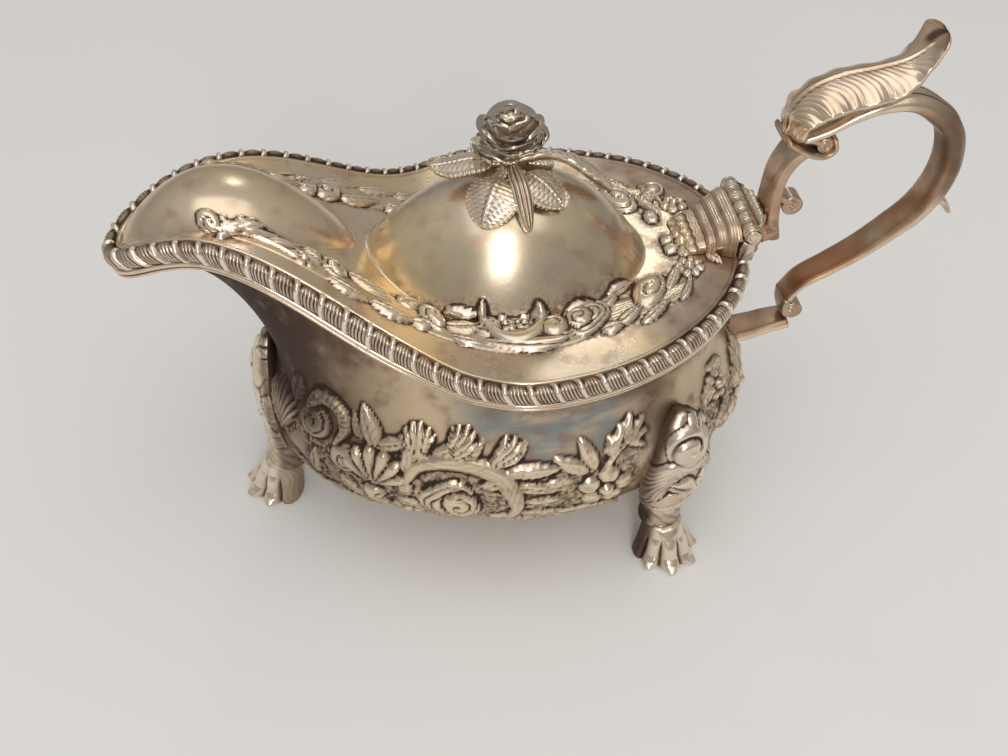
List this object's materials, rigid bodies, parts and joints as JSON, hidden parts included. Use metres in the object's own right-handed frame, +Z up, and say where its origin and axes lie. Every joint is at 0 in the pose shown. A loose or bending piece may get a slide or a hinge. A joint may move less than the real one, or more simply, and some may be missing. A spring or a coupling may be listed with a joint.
{
  "type": "covered sauce boat",
  "caption": "Covered silver sauce boat on paw feet, with a gadrooned rim, chased flower bands, a hinged domed lid, a rose finial and a leaf-capped scroll handle",
  "frame": {"origin": "on the table under the middle of the overall length", "axes": "+X towards the handle, -X towards the spout, -Y the side in front in the picture, +Z up"},
  "size_m": [0.2114, 0.0988, 0.1327],
  "materials": {
    "chased_silver": "old silver, worn bright on the high places, brown tarnish in the hollows of the chasing",
    "cast_silver": "cast silver, polished on the tops and dark in the grooves",
    "polished_silver": "bright hand-polished silver with fine scratches",
    "lid_silver": "polished silver with a warm bloom and brown tarnish in the chased band",
    "finial_silver": "cast and chased silver, dark between the petals and veins"
  },
  "bodies": {
    "boat": {"boat_body": "chased_silver", "rim_gadroon": "cast_silver", "rim_moulding": "polished_silver", "front_knee": "cast_silver", "front_paw": "cast_silver", "rear_near_knee": "cast_silver", "rear_near_paw": "cast_silver", "rear_far_knee": "cast_silver", "rear_far_paw": "cast_silver", "handle_neck": "cast_silver", "handle_strap": "polished_silver", "handle_leaf": "cast_silver", "handle_tail": "polished_silver", "handle_spur": "cast_silver", "hinge_bracket": "cast_silver", "hinge_pin": "polished_silver", "boat_knuckle_1": "cast_silver", "boat_knuckle_2": "cast_silver", "boat_knuckle_3": "cast_silver"},
    "cover": {"lid_knuckle_1": "cast_silver", "lid_knuckle_2": "cast_silver", "lid_plate": "lid_silver", "lid_bezel": "lid_silver", "hinge_leaf": "cast_silver", "finial_stem": "finial_silver", "finial_rose": "finial_silver", "finial_leaf_long": "finial_silver", "finial_leaf_broad": "finial_silver", "finial_leaf_round": "finial_silver", "finial_leaf_back_left": "finial_silver", "finial_leaf_back_right": "finial_silver", "finial_bud": "finial_silver", "finial_twig": "finial_silver", "finial_screw": "polished_silver", "finial_washer": "polished_silver", "finial_nut": "polished_silver"}
  },
  "joints": [
    {"name": "lid_hinge", "type": "hinge", "parent": "boat", "child": "cover", "pos_m": [0.04895, 0, 0.087], "axis": [0, 1, 0], "range_deg": [0, 80]}
  ]
}
